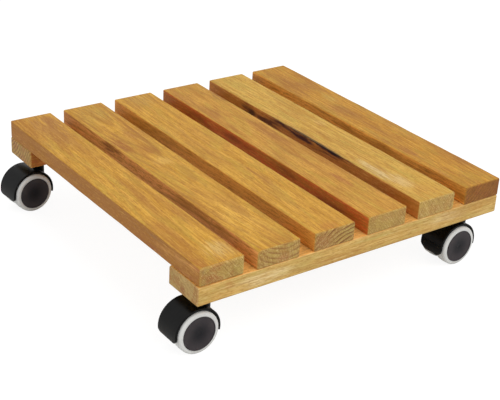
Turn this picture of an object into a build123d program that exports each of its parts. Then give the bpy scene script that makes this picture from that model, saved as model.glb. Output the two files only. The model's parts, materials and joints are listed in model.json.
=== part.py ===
from build123d import *
import math
import os

# A square slatted timber platform on four small swivelling twin-wheel casters.
# Millimetres, Z up. The origin is on the floor under the middle of the deck:
# X runs across the slats and Y runs along them.

# ---------------------------------------------------------------- driving sizes
# Deck
DECK_WIDTH = 300.0
DECK_LENGTH = 300.0
SLAT_COUNT = 6
BEARER_SHORTFALL = 2.0
SLAT_WIDTH = 38.5
SLAT_THICKNESS = 15.5
BEARER_WIDTH = 38.5
BEARER_THICKNESS = 15.5
EDGE_ROUND = 1.5

# Countersunk wood screws, two at each crossing of a slat and a bearer
SCREW_LENGTH = 25.0
SCREW_HEAD_DIAMETER = 7.6
SCREW_SHANK_DIAMETER = 4.0
SCREW_CORE_DIAMETER = 2.8
SCREW_THREAD_LENGTH = 14.0
SCREW_THREAD_PITCH = 1.8
SCREW_TIP_LENGTH = 2.6
SCREW_OFFSET = 11.5
SCREW_DRIVE_SPAN = 4.2
SCREW_DRIVE_WIDTH = 1.1
SCREW_DRIVE_DEPTH = 1.7
SCREW_CLEARANCE = 0.05

# Stem and its flanged socket
CASTER_INSET = 20.3
STEM_DIAMETER = 6.0
STEM_CHAMFER = 0.8
STEM_GROOVE_DEPTH = 0.5
STEM_GROOVE_HEIGHT = 2.4
STEM_GROOVE_RISE = 2.0
SOCKET_WALL = 1.5
SOCKET_DEPTH = 24.0
SOCKET_FLANGE_DIAMETER = 15.0
SOCKET_FLANGE_THICKNESS = 1.2

# Wheels
WHEEL_DIAMETER = 35.0
AXLE_DROP = 27.0
TRAIL = 12.65
CASTER_HALF_WIDTH = 14.3
TYRE_THICKNESS = 3.3
TYRE_SHOULDER = 2.0
TYRE_INNER_CHAMFER = 0.8
TYRE_SIDE_STEP = 0.6
CAP_DIAMETER = 27.5
CAP_RIM_WIDTH = 0.7
CAP_RECESS = 0.45
CAP_THICKNESS = 1.2
CAP_SPIGOT_DEPTH = 2.4
HUB_RIM_WALL = 1.6
HUB_DISC_THICKNESS = 1.8
HUB_DISC_INSET = 1.8
HUB_BOSS_DIAMETER = 10.4
HUB_BOSS_LENGTH = 6.4
HUB_RIB_COUNT = 6
HUB_RIB_THICKNESS = 1.2
AXLE_DIAMETER = 4.0
AXLE_CHAMFER = 0.4
CLIP_DIAMETER = 7.6
CLIP_THICKNESS = 0.8
CLIP_GROOVE_DEPTH = 0.5
CLIP_MOUTH = 2.6

# Hood, the moulded housing over each pair of wheels
HOOD_WALL = 1.6
HOOD_WIDTH = 24.0
HOOD_EDGE_ROUND = 0.6
HOOD_FRONT_ANGLE = 190.0
HOOD_REAR_ANGLE = -13.0
HOOD_REAR_CORNER = 4.0
WEB_THICKNESS = 5.6
WEB_BOSS_DIAMETER = 13.0
NECK_WALL = 1.5
NECK_FLOOR = 1.2

# Brake lever, a curved flap that takes the place of the hood's rear end
LEVER_TOP_ANGLE = 9.0
LEVER_DROOP = 19.5
LEVER_CORNER = 7.0
LEVER_BLANK_ANGLE = -80.0
LEVER_ARM_THICKNESS = 2.6
LEVER_ARM_TOP_ANGLE = 4.0
LEVER_ARM_BOTTOM_ANGLE = -12.0
LEVER_RING_DIAMETER = 10.6
LEVER_TRAVEL = 14.0

# Clearances
RUNNING_CLEARANCE = 0.05
SEAT_CLEARANCE = 0.03
FREE_GAP = 0.3
TYRE_TO_HOOD = 0.6
HUB_TO_WEB = 0.6

# The boards are fixed by hand. Each slat: how far it lies across from its even
# place, and how far out of square in degrees
SLATS = [(1.8, 0.28), (0.0, 0.0), (0.0, 0.0), (0.0, 0.0), (0.0, 0.0), (-1.1, 0.0)]

# Each caster: side of the deck in X and in Y, how far its hole strays outwards in
# X, the way it trails in degrees about Z, and whether it has a brake
CASTERS = {
    "front_left": (-1, -1, 0.0, 180.0, False),
    "front_right": (1, -1, 0.0, 181.0, True),
    "rear_left": (-1, 1, 2.3, 184.5, False),
    "rear_right": (1, 1, 0.0, 0.0, True),
}

# ---------------------------------------------------------------- worked out
WHEEL_RADIUS = WHEEL_DIAMETER / 2
AXLE_Z = WHEEL_RADIUS
BEARER_Z = AXLE_Z + AXLE_DROP
SLAT_Z = BEARER_Z + BEARER_THICKNESS
DECK_Z = SLAT_Z + SLAT_THICKNESS

SLAT_PITCH = (DECK_WIDTH - SLAT_WIDTH) / (SLAT_COUNT - 1)
SLAT_X = [(i - (SLAT_COUNT - 1) / 2) * SLAT_PITCH + SLATS[i][0] for i in range(SLAT_COUNT)]
BEARER_Y = {"front": -(DECK_LENGTH - BEARER_WIDTH) / 2, "rear": (DECK_LENGTH - BEARER_WIDTH) / 2}

STEM_X = DECK_WIDTH / 2 - CASTER_INSET
STEM_Y = BEARER_Y["rear"]
STEM_RADIUS = STEM_DIAMETER / 2
AXLE_RADIUS = AXLE_DIAMETER / 2
WEB_HALF = WEB_THICKNESS / 2
WHEEL_INNER_Y = WEB_HALF + HUB_TO_WEB
SIDEWALL_Y = CASTER_HALF_WIDTH - TYRE_SIDE_STEP
CAP_RADIUS = CAP_DIAMETER / 2
CAP_SEAT_Y = CASTER_HALF_WIDTH - CAP_RECESS - CAP_THICKNESS
RIM_RADIUS = WHEEL_RADIUS - TYRE_THICKNESS
RIM_INNER_RADIUS = RIM_RADIUS - HUB_RIM_WALL
BOSS_END_Y = WHEEL_INNER_Y + HUB_BOSS_LENGTH
CLIP_Y = BOSS_END_Y + FREE_GAP
AXLE_HALF = CLIP_Y + CLIP_THICKNESS + 2 * AXLE_CHAMFER

HOOD_INNER_RADIUS = WHEEL_RADIUS + TYRE_TO_HOOD
HOOD_RADIUS = HOOD_INNER_RADIUS + HOOD_WALL
HOOD_HALF = HOOD_WIDTH / 2
NECK_TOP_Z = BEARER_Z - SOCKET_FLANGE_THICKNESS - FREE_GAP
STEM_REACH = max(TRAIL - STEM_RADIUS, 0)
BORE_FLOOR_Z = AXLE_Z + math.sqrt(HOOD_INNER_RADIUS**2 - STEM_REACH**2) + NECK_FLOOR
STEM_BOTTOM_Z = BORE_FLOOR_Z + FREE_GAP
GROOVE_Z = STEM_BOTTOM_Z + STEM_GROOVE_RISE
SOCKET_TOP_Z = BEARER_Z + SOCKET_DEPTH
STEM_TOP_Z = SOCKET_TOP_Z - SOCKET_WALL - FREE_GAP

MARGIN = 1.0


# ---------------------------------------------------------------- helpers
def turned(profile):
    """Solid of revolution about Z from a closed list of (radius, height) corners."""
    outline = Polyline(*[(r, 0, z) for r, z in profile], close=True)
    return revolve(make_face(outline), Axis.Z, 360)


def upright(bottom, top, radius):
    """Round bar about Z between two heights."""
    return Pos(0, 0, bottom) * Cylinder(
        radius, top - bottom, align=(Align.CENTER, Align.CENTER, Align.MIN)
    )


def across(radius, half_width):
    """Round bar about the axle line, as wide as given to each side."""
    return Pos(TRAIL, 0, AXLE_Z) * Rot(90, 0, 0) * Cylinder(radius, 2 * half_width)


def sector(start, end, radius, half_width):
    """Wedge about the axle between two angles above the rearward horizontal."""
    steps = max(2, math.ceil(abs(end - start) / 45))
    angles = [math.radians(start + (end - start) * i / steps) for i in range(steps + 1)]
    rim = [(TRAIL + radius * math.cos(a), AXLE_Z + radius * math.sin(a)) for a in angles]
    corners = [(x, 0, z) for x, z in [(TRAIL, AXLE_Z)] + rim]
    return extrude(make_face(Polyline(*corners, close=True)), half_width, dir=(0, 1, 0), both=True)


def on_wheel(solid, side):
    """Stand a piece turned about Z on the axle line, outwards to one side."""
    return Pos(TRAIL, 0, AXLE_Z) * Rot(-90 * side, 0, 0) * solid


def stem_place(name):
    """Where a caster's stem stands under the deck."""
    side_x, side_y, stray = CASTERS[name][:3]
    return Pos(side_x * (STEM_X + stray), side_y * STEM_Y, 0)


# ---------------------------------------------------------------- timber deck
def screw_places():
    """Screw positions at each crossing, on the diagonal that clears a stem socket."""
    places = {}
    for end, y in BEARER_Y.items():
        places[end] = [
            (x + side * SCREW_OFFSET, y - side * SCREW_OFFSET)
            for x in SLAT_X
            for side in (-1, 1)
        ]
    return places


def screw():
    """Countersunk screw, head flush with the bearer's underside, pointing up."""
    head = SCREW_HEAD_DIAMETER / 2
    shank = SCREW_SHANK_DIAMETER / 2
    core = SCREW_CORE_DIAMETER / 2
    thread_start = SCREW_LENGTH - SCREW_THREAD_LENGTH
    tip_start = SCREW_LENGTH - SCREW_TIP_LENGTH
    turns = int((tip_start - thread_start) / SCREW_THREAD_PITCH)
    profile = [(0, 0), (head, 0), (shank, head - shank), (shank, thread_start)]
    for i in range(turns):
        foot = thread_start + i * SCREW_THREAD_PITCH
        profile.append((core, foot + SCREW_THREAD_PITCH / 4))
        profile.append((shank, foot + SCREW_THREAD_PITCH))
    profile += [(core, tip_start), (0, SCREW_LENGTH)]
    slot = Box(
        SCREW_DRIVE_SPAN, SCREW_DRIVE_WIDTH, SCREW_DRIVE_DEPTH,
        align=(Align.CENTER, Align.CENTER, Align.MIN),
    )
    return turned(profile) - slot - Rot(0, 0, 90) * slot


def screw_hole():
    """Countersunk hole that a screw lies in."""
    head = SCREW_HEAD_DIAMETER / 2 + SCREW_CLEARANCE
    shank = SCREW_SHANK_DIAMETER / 2 + SCREW_CLEARANCE
    end = SCREW_LENGTH + SCREW_CLEARANCE
    return turned([(0, -MARGIN), (head, -MARGIN), (head, 0), (shank, head - shank), (shank, end), (0, end)])


def drill(board, places):
    """Cut every screw hole and stem socket hole that reaches a board."""
    hole = screw_hole()
    for x, y in places:
        board -= Pos(x, y, BEARER_Z) * hole
    socket_hole = upright(
        BEARER_Z - MARGIN, SOCKET_TOP_Z + SEAT_CLEARANCE, STEM_RADIUS + SOCKET_WALL + SEAT_CLEARANCE
    )
    for name in CASTERS:
        board -= stem_place(name) * socket_hole
    return board


def softened(board):
    """Board with every edge rounded a little."""
    return fillet(board.edges(), EDGE_ROUND)


def slat(index):
    """One deck board, running from the front bearer to the rear one."""
    board = softened(Box(SLAT_WIDTH, DECK_LENGTH, SLAT_THICKNESS))
    board = Pos(SLAT_X[index], 0, SLAT_Z + SLAT_THICKNESS / 2) * Rot(0, 0, SLATS[index][1]) * board
    places = screw_places()
    near = [p for end in places.values() for p in end if abs(p[0] - SLAT_X[index]) < SLAT_WIDTH / 2]
    return drill(board, near)


def bearer(end):
    """Cross board under the slat ends, which carries two casters."""
    board = softened(Box(DECK_WIDTH - BEARER_SHORTFALL, BEARER_WIDTH, BEARER_THICKNESS))
    board = Pos(0, BEARER_Y[end], BEARER_Z + BEARER_THICKNESS / 2) * board
    return drill(board, screw_places()[end])


def bearer_screws(end):
    """All the screws of one bearer."""
    one = screw()
    return Compound(children=[Pos(x, y, BEARER_Z) * one for x, y in screw_places()[end]])


# ---------------------------------------------------------------- stem and socket
def socket():
    """Flanged sleeve let into the bearer and the slat above it."""
    body = upright(BEARER_Z, SOCKET_TOP_Z, STEM_RADIUS + SOCKET_WALL)
    flange = upright(BEARER_Z - SOCKET_FLANGE_THICKNESS, BEARER_Z, SOCKET_FLANGE_DIAMETER / 2)
    bore = upright(
        BEARER_Z - SOCKET_FLANGE_THICKNESS - MARGIN,
        SOCKET_TOP_Z - SOCKET_WALL,
        STEM_RADIUS + SEAT_CLEARANCE,
    )
    return body + flange - bore


def stem():
    """Steel pin, fast in the socket, with a groove that holds the hood on."""
    groove = STEM_RADIUS - STEM_GROOVE_DEPTH
    nose = STEM_RADIUS - STEM_CHAMFER
    return turned(
        [
            (0, STEM_BOTTOM_Z),
            (nose, STEM_BOTTOM_Z),
            (STEM_RADIUS, STEM_BOTTOM_Z + STEM_CHAMFER),
            (STEM_RADIUS, GROOVE_Z),
            (groove, GROOVE_Z),
            (groove, GROOVE_Z + STEM_GROOVE_HEIGHT),
            (STEM_RADIUS, GROOVE_Z + STEM_GROOVE_HEIGHT),
            (STEM_RADIUS, STEM_TOP_Z - STEM_CHAMFER),
            (nose, STEM_TOP_Z),
            (0, STEM_TOP_Z),
        ]
    )


# ---------------------------------------------------------------- hood and brake
def hood_ring():
    """Full ring of the hood's wall, its outer rims rounded."""
    ring = across(HOOD_RADIUS, HOOD_HALF)
    rims = ring.edges().filter_by(GeomType.CIRCLE)
    return fillet(rims, HOOD_EDGE_ROUND) - across(HOOD_INNER_RADIUS, HOOD_HALF + MARGIN)


def rear_corners(droop, corner):
    """Two cutters that round the lower corners of a wall's rear end, seen along X."""
    low = AXLE_Z - HOOD_RADIUS * math.sin(math.radians(droop))
    rod = Rot(0, 90, 0) * Cylinder(corner, 4 * HOOD_RADIUS)
    cutters = []
    for side, outwards in ((1, Align.MIN), (-1, Align.MAX)):
        block = Box(2 * HOOD_RADIUS, corner + MARGIN, corner + MARGIN, align=(Align.MIN, outwards, Align.MAX))
        cutters.append(Pos(TRAIL, side * (HOOD_HALF - corner), low + corner) * (block - rod))
    return cutters


def hood(braked):
    """Housing in one moulding: wall over the wheels, web between them, and neck."""
    far = 2 * HOOD_RADIUS
    rear = LEVER_TOP_ANGLE if braked else HOOD_REAR_ANGLE
    cover = sector(rear, HOOD_FRONT_ANGLE, far, HOOD_HALF + MARGIN)
    wall = hood_ring() & cover
    if not braked:
        wall -= rear_corners(-HOOD_REAR_ANGLE, HOOD_REAR_CORNER)
    web = across(HOOD_INNER_RADIUS + HOOD_WALL / 2, WEB_HALF) & cover
    boss = across(WEB_BOSS_DIAMETER / 2, WEB_HALF)
    neck = upright(AXLE_Z, NECK_TOP_Z, STEM_RADIUS + NECK_WALL) - across(HOOD_INNER_RADIUS, HOOD_HALF)
    bore = upright(BORE_FLOOR_Z, NECK_TOP_Z + MARGIN, STEM_RADIUS + RUNNING_CLEARANCE)
    bead_low = GROOVE_Z + FREE_GAP
    bead_high = GROOVE_Z + STEM_GROOVE_HEIGHT - FREE_GAP
    bead = upright(bead_low, bead_high, STEM_RADIUS + NECK_WALL / 2)
    bead -= upright(bead_low, bead_high, STEM_RADIUS - STEM_GROOVE_DEPTH + RUNNING_CLEARANCE)
    axle_hole = across(AXLE_RADIUS + SEAT_CLEARANCE, HOOD_HALF)
    body = wall + web + boss + neck - bore + bead - axle_hole
    if braked:
        body -= lever_slot()
    return body


def lever_slot():
    """Room in the axle boss for the lever's ring, and for its arm to swing."""
    half = LEVER_ARM_THICKNESS / 2 + FREE_GAP / 2
    ring = across(LEVER_RING_DIAMETER / 2 + FREE_GAP, half)
    low = LEVER_ARM_BOTTOM_ANGLE - 2 * LEVER_TRAVEL
    swing = sector(low, LEVER_TOP_ANGLE, 2 * HOOD_RADIUS, half)
    return ring + swing


def brake_lever():
    """Curved flap behind the wheels, on an arm that turns about the axle."""
    gap_angle = math.degrees(FREE_GAP / HOOD_RADIUS)
    far = 2 * HOOD_RADIUS
    low = AXLE_Z - HOOD_RADIUS * math.sin(math.radians(LEVER_DROOP))
    flap = hood_ring()
    flap &= sector(LEVER_BLANK_ANGLE, LEVER_TOP_ANGLE - gap_angle, far, HOOD_HALF + MARGIN)
    flap -= Pos(0, 0, low) * Box(2 * far, 2 * far, far, align=(Align.CENTER, Align.CENTER, Align.MAX))
    flap -= rear_corners(LEVER_DROOP, LEVER_CORNER)
    half = LEVER_ARM_THICKNESS / 2
    arm = across(HOOD_INNER_RADIUS + HOOD_WALL / 2, half)
    arm &= sector(LEVER_ARM_BOTTOM_ANGLE, LEVER_ARM_TOP_ANGLE, far, half + MARGIN)
    ring = across(LEVER_RING_DIAMETER / 2, half)
    hole = across(AXLE_RADIUS + RUNNING_CLEARANCE, half + MARGIN)
    return flap + arm + ring - hole


# ---------------------------------------------------------------- axle and wheels
def axle():
    """Steel pin through the web and both hubs, grooved for its clips."""
    groove = AXLE_RADIUS - CLIP_GROOVE_DEPTH
    groove_end = CLIP_Y + CLIP_THICKNESS + SEAT_CLEARANCE
    half = [
        (groove, CLIP_Y),
        (groove, groove_end),
        (AXLE_RADIUS, groove_end),
        (AXLE_RADIUS, AXLE_HALF - AXLE_CHAMFER),
        (AXLE_RADIUS - AXLE_CHAMFER, AXLE_HALF),
        (0, AXLE_HALF),
    ]
    upper = [(AXLE_RADIUS, CLIP_Y)] + half
    lower = [(r, -z) for r, z in reversed(upper)]
    return on_wheel(turned(lower + upper), 1)


def axle_clips():
    """Open retaining clips in the axle's two grooves."""
    ring = upright(CLIP_Y, CLIP_Y + CLIP_THICKNESS, CLIP_DIAMETER / 2)
    ring -= upright(CLIP_Y, CLIP_Y + CLIP_THICKNESS, AXLE_RADIUS - CLIP_GROOVE_DEPTH + SEAT_CLEARANCE)
    mouth = Box(
        CLIP_DIAMETER, CLIP_MOUTH, CLIP_THICKNESS, align=(Align.MIN, Align.CENTER, Align.MIN)
    )
    clip = ring - Pos(0, 0, CLIP_Y) * mouth
    return Compound(children=[on_wheel(clip, side) for side in (1, -1)])


def hub(side):
    """Moulded wheel centre: rim, disc, ribs, and boss on the axle."""
    rim = upright(WHEEL_INNER_Y, CAP_SEAT_Y, RIM_RADIUS - SEAT_CLEARANCE)
    rim -= upright(WHEEL_INNER_Y, CAP_SEAT_Y, RIM_INNER_RADIUS)
    disc_y = WHEEL_INNER_Y + HUB_DISC_INSET
    disc = upright(disc_y, disc_y + HUB_DISC_THICKNESS, RIM_INNER_RADIUS + HUB_RIM_WALL / 2)
    boss = upright(WHEEL_INNER_Y, BOSS_END_Y, HUB_BOSS_DIAMETER / 2)
    rib_length = RIM_INNER_RADIUS + HUB_RIM_WALL / 2
    rib_top = CAP_SEAT_Y - CAP_SPIGOT_DEPTH - FREE_GAP
    rib = Box(
        rib_length, HUB_RIB_THICKNESS, rib_top - disc_y, align=(Align.MIN, Align.CENTER, Align.MIN)
    )
    body = rim + disc + boss
    for i in range(HUB_RIB_COUNT):
        body += Rot(0, 0, i * 360 / HUB_RIB_COUNT) * Pos(0, 0, disc_y) * rib
    body -= upright(BOSS_END_Y, CAP_SEAT_Y + MARGIN, HUB_BOSS_DIAMETER / 2)
    body -= upright(0, CASTER_HALF_WIDTH, AXLE_RADIUS + RUNNING_CLEARANCE)
    return on_wheel(body, side)


def tyre(side):
    """Soft tread with a rounded outer shoulder and a side lip around the cap."""
    lip = CAP_RADIUS + SEAT_CLEARANCE
    lip_y = CAP_SEAT_Y + SEAT_CLEARANCE
    shoulder_y = SIDEWALL_Y - TYRE_SHOULDER
    bend = TYRE_SHOULDER * (1 - math.sqrt(0.5))
    start = (WHEEL_RADIUS, 0, shoulder_y)
    middle = (WHEEL_RADIUS - bend, 0, SIDEWALL_Y - bend)
    end = (WHEEL_RADIUS - TYRE_SHOULDER, 0, SIDEWALL_Y)
    shoulder = ThreePointArc(start, middle, end)
    inside = Polyline(
        end,
        (lip, 0, SIDEWALL_Y),
        (lip, 0, lip_y),
        (RIM_RADIUS, 0, lip_y),
        (RIM_RADIUS, 0, WHEEL_INNER_Y),
        (WHEEL_RADIUS - TYRE_INNER_CHAMFER, 0, WHEEL_INNER_Y),
        (WHEEL_RADIUS, 0, WHEEL_INNER_Y + TYRE_INNER_CHAMFER),
        start,
    )
    return on_wheel(revolve(make_face([shoulder, inside]), Axis.Z, 360), side)


def cap(side):
    """Hub cap: a flat disc set a little inside its thin rim, with a spigot behind."""
    face_y = CASTER_HALF_WIDTH - CAP_RECESS
    inner = CAP_RADIUS - CAP_RIM_WIDTH
    spigot = RIM_INNER_RADIUS - SEAT_CLEARANCE
    spigot_y = CAP_SEAT_Y - CAP_SPIGOT_DEPTH
    profile = [
        (0, CAP_SEAT_Y),
        (spigot - CAP_THICKNESS, CAP_SEAT_Y),
        (spigot - CAP_THICKNESS, spigot_y),
        (spigot, spigot_y),
        (spigot, CAP_SEAT_Y),
        (CAP_RADIUS, CAP_SEAT_Y),
        (CAP_RADIUS, CASTER_HALF_WIDTH - CAP_RECESS / 2),
        (CAP_RADIUS - CAP_RECESS / 2, CASTER_HALF_WIDTH),
        (inner + CAP_RECESS / 2, CASTER_HALF_WIDTH),
        (inner, face_y),
        (0, face_y),
    ]
    return on_wheel(turned(profile), side)


# ---------------------------------------------------------------- assembly
def caster_parts(braked):
    """The pieces of one caster, its stem on Z and its wheels trailing along +X."""
    pieces = {"socket": socket(), "stem": stem(), "hood": hood(braked), "axle": axle()}
    pieces["axle_clips"] = axle_clips()
    if braked:
        pieces["brake_lever"] = brake_lever()
    for wheel, side in (("a", 1), ("b", -1)):
        pieces["hub_" + wheel] = hub(side)
        pieces["tyre_" + wheel] = tyre(side)
        pieces["cap_" + wheel] = cap(side)
    return pieces


def all_parts():
    """Every node of the caddy by name."""
    parts = {}
    for i in range(SLAT_COUNT):
        parts["slat_" + str(i + 1)] = slat(i)
    for end in BEARER_Y:
        parts[end + "_bearer"] = bearer(end)
        parts[end + "_bearer_screws"] = bearer_screws(end)
    kinds = {braked: caster_parts(braked) for braked in (False, True)}
    for name, (_, _, _, turn, braked) in CASTERS.items():
        place = stem_place(name) * Rot(0, 0, turn)
        for piece, solid in kinds[braked].items():
            parts[name + "_" + piece] = place * solid
    return parts


def main():
    os.makedirs("parts", exist_ok=True)
    for name, solid in all_parts().items():
        export_step(solid, "parts/" + name + ".step")


main()
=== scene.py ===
# %% [markdown]
# # A plant pot caddy
# The real thing is a square of six oiled hardwood slats on two bearers, carried by four
# small twin-wheel casters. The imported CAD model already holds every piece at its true
# size and place, so this lesson brings it in as a fixed frame and gives each piece its
# finish. Slats, tyres and hub caps are made again as finer surfaces, because their look
# depends on small uneven shapes that CAD leaves out.

import json
import math

import bpy
import numpy as np
from mathutils import Matrix, Vector


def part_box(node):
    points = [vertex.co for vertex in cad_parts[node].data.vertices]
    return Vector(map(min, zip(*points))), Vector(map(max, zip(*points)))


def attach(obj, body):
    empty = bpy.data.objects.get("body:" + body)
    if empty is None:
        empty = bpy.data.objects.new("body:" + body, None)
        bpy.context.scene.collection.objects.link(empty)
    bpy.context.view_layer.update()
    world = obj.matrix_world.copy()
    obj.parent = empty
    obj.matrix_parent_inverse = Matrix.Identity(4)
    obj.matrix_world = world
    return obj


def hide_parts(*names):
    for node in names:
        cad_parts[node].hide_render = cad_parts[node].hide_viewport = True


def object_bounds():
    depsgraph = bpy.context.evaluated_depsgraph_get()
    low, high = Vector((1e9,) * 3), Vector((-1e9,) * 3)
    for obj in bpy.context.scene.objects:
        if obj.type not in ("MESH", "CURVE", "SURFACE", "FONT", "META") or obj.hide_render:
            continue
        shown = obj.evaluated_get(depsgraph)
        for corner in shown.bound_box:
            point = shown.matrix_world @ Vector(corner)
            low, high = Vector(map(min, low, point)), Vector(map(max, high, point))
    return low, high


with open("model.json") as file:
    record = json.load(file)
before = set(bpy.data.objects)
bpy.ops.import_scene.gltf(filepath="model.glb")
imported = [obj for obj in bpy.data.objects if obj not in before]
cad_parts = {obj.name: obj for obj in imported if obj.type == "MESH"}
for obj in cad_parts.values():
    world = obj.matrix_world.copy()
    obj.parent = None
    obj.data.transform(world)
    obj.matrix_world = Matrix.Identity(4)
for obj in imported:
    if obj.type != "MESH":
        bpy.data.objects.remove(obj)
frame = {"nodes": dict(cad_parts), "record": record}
cad_low, cad_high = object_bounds()
nodes, record = frame["nodes"], frame["record"]
MM = 0.001

print("nodes:", len(nodes), "size in mm:", [round(s / MM, 1) for s in cad_high - cad_low])

# %% [markdown]
# ## The view
# A product shot of low furniture looks down at one corner with a longish lens, so that the
# boards run away without much taper. The camera is turned about the vertical, then tipped
# down, then rolled a little, and the three turns multiplied in that order give its rotation.

# %% Camera
CAMERA_TURN, CAMERA_TIP, CAMERA_ROLL = -36.942, 26.683, 3.326
CAMERA_PLACE = (-0.55281, -0.74138, 0.49135)
SENSOR_WIDTH, LENS = 36.0, 85.91

camera_data = bpy.data.cameras.new("camera")
camera_data.sensor_width, camera_data.lens = SENSOR_WIDTH, LENS
camera = bpy.data.objects.new("camera", camera_data)
turn = Matrix.Rotation(math.radians(CAMERA_TURN), 4, "Z")
tip = Matrix.Rotation(math.radians(90 - CAMERA_TIP), 4, "X")
roll = Matrix.Rotation(math.radians(CAMERA_ROLL), 4, "Z")
camera.matrix_world = Matrix.Translation(CAMERA_PLACE) @ turn @ tip @ roll
bpy.context.scene.collection.objects.link(camera)
bpy.context.scene.camera = camera

print("camera looks along", [round(c, 3) for c in -camera.matrix_world.col[2].xyz])

# %% [markdown]
# ## Colour and nodes
# Screen colours are written as hex values, but a shader mixes light, which needs linear
# values. One function turns the one into the other. A material is a small graph, and
# writing it out node by node gets long, so one function adds a node with its settings
# and links, whatever its kind. Settings used often have a short name.

# %% Colour and node helpers
def linear(hex_colour):
    """Linear RGBA from an sRGB hex value: a straight toe, then the power curve."""
    parts = np.array([int(hex_colour[i : i + 2], 16) for i in (1, 3, 5)]) / 255
    value = np.where(parts <= 0.04045, parts / 12.92, ((parts + 0.055) / 1.055) ** 2.4)
    return (*value.tolist(), 1.0)


def new_material(name):
    """An empty node material and its tree."""
    material = bpy.data.materials.new(name)
    material.use_nodes = True
    material.node_tree.nodes.clear()
    return material, material.node_tree


def add(tree, kind, settings=None, **inputs):
    """Add a node. Settings are its properties. Each input is a value, a socket, or a node
    whose first output is meant. It is named with underscores for spaces, or in0, in1..."""
    node = tree.nodes.new(kind)
    for key, value in (settings or {}).items():
        setattr(node, key, value)
    for key, value in inputs.items():
        number = key[2:]
        name = key.replace("_", " ")
        socket = node.inputs[int(number)] if key[:2] == "in" and number.isdigit() else node.inputs[name]
        value = value.outputs[0] if isinstance(value, bpy.types.Node) else value
        if isinstance(value, bpy.types.NodeSocket):
            tree.links.new(value, socket)
        else:
            socket.default_value = value
    return node


def coat(material, *pieces):
    """Put one material over whole pieces in place of what they had."""
    for piece in pieces:
        piece.data.materials.clear()
        piece.data.materials.append(material)


SMOOTH, RGBA = {"interpolation_type": "SMOOTHSTEP"}, {"data_type": "RGBA"}
TIMES, TIMES_PLUS = {"operation": "MULTIPLY"}, {"operation": "MULTIPLY_ADD"}
GREATER, LENGTH, DOT = {"operation": "MAXIMUM"}, {"operation": "LENGTH"}, {"operation": "DOT_PRODUCT"}
print("mid grey", [round(c, 3) for c in linear("#808080")])

# %% [markdown]
# ## Surfaces from arrays
# A shape that numpy can work out is a grid of points: one parameter along it, one round
# it. Blender takes such a grid as a flat list of points and a list of four-cornered
# faces that join each point to its neighbours. Where the grid meets itself it is closed
# by wrapping the count, and an open end gets one wide face as a cap.

# %% Mesh from a grid
SHARP_ANGLE = math.radians(40)     # faces that meet at more than this keep a crisp edge


def grid_mesh(name, points, wrap_rows=False, cap_ends=False):
    """Mesh of a grid of points shaped (rows, columns, 3), closed round its columns.
    Rows may wrap too, as on a ring, or the first and last rows may be capped. If the
    volume, a sixth of the summed triple products of its triangles, comes out negative,
    the faces point inwards and are turned round."""
    rows, columns = points.shape[:2]
    place = np.arange(rows * columns).reshape(rows, columns)
    last = rows if wrap_rows else rows - 1
    a = place[np.arange(last) % rows]
    b = place[(np.arange(last) + 1) % rows]
    quads = np.stack([a, b, np.roll(b, -1, 1), np.roll(a, -1, 1)], -1).reshape(-1, 4)
    faces = quads.tolist()
    if cap_ends:
        faces += [place[0].tolist(), place[-1][::-1].tolist()]
    mesh = bpy.data.meshes.new(name)
    mesh.from_pydata(points.reshape(-1, 3).tolist(), [], faces)
    corners = points.reshape(-1, 3)[quads] - points.mean((0, 1))
    first, second = np.cross(corners[:, 1], corners[:, 2]), np.cross(corners[:, 2], corners[:, 3])
    if (corners[:, 0] * (first + second)).sum() < 0:
        mesh.flip_normals()
    mesh.polygons.foreach_set("use_smooth", np.ones(len(mesh.polygons), bool))
    mesh.set_sharp_from_angle(angle=SHARP_ANGLE)
    mesh.update()
    return mesh


def stand_in(name, mesh, node, body):
    """Object for a mesh that stands for a CAD node, riding on that node's body."""
    piece = bpy.data.objects.new(name, mesh)
    bpy.context.scene.collection.objects.link(piece)
    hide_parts(node)
    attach(piece, body)
    return piece


body_of_node = {n: body for body, members in record["behaviour"]["bodies"].items() for n in members}
print("bodies:", sorted(set(body_of_node.values())))

# %% [markdown]
# ## Slats
# A slat is planed on four faces, cut to length and then rubbed down by hand, so its faces
# are flat but its arrises aren't one neat radius: they are rounder here and sharper
# there, and a corner here and there is worn round. A plain box with a bevel can't do
# that. Here the board is a rounded rectangle carried along its length, and the corner
# radius is a slow wave of the distance run. At each end the section draws in along a
# quarter circle, which rounds the end arrises too.

# %% Place and turn of a board
END_SHARE = 0.03     # how much of a board's length is looked at to find the middle of an end


def points_of(mesh):
    """All the points of a mesh, as an array."""
    flat = np.empty(len(mesh.vertices) * 3, np.float32)
    mesh.vertices.foreach_get("co", flat)
    return flat.reshape(-1, 3).astype(float)


def board_place(node):
    """Middle, angle about Z, and width, length and thickness of a slat. The angle comes
    from how far the middles of its two ends stand apart across the deck."""
    points = points_of(nodes[node].data)
    low, high = points.min(0), points.max(0)
    reach = high[1] - low[1]
    near = points[points[:, 1] < low[1] + reach * END_SHARE]
    far = points[points[:, 1] > high[1] - reach * END_SHARE]
    across = (far[:, 0].min() + far[:, 0].max() - near[:, 0].min() - near[:, 0].max()) / 2
    angle = -math.atan2(across, reach * (1 - END_SHARE))
    width = ((high[0] - low[0]) - reach * abs(math.sin(angle))) / math.cos(angle)
    length = (reach - width * abs(math.sin(angle))) / math.cos(angle)
    return (low + high) / 2, angle, (width, length, high[2] - low[2])


slat_names = sorted(n for n in nodes if n.startswith("slat_"))
for n in slat_names:
    middle, angle, size = board_place(n)
    print(n, "angle", round(math.degrees(angle), 2), "size", [round(s / MM, 1) for s in size])

# %% [markdown]
# ### From section to board
# A section is four quarter circles joined by straight runs. A worn corner could be
# sculpted, but here wear is a curve too, a bell that is highest at the near end.

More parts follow.
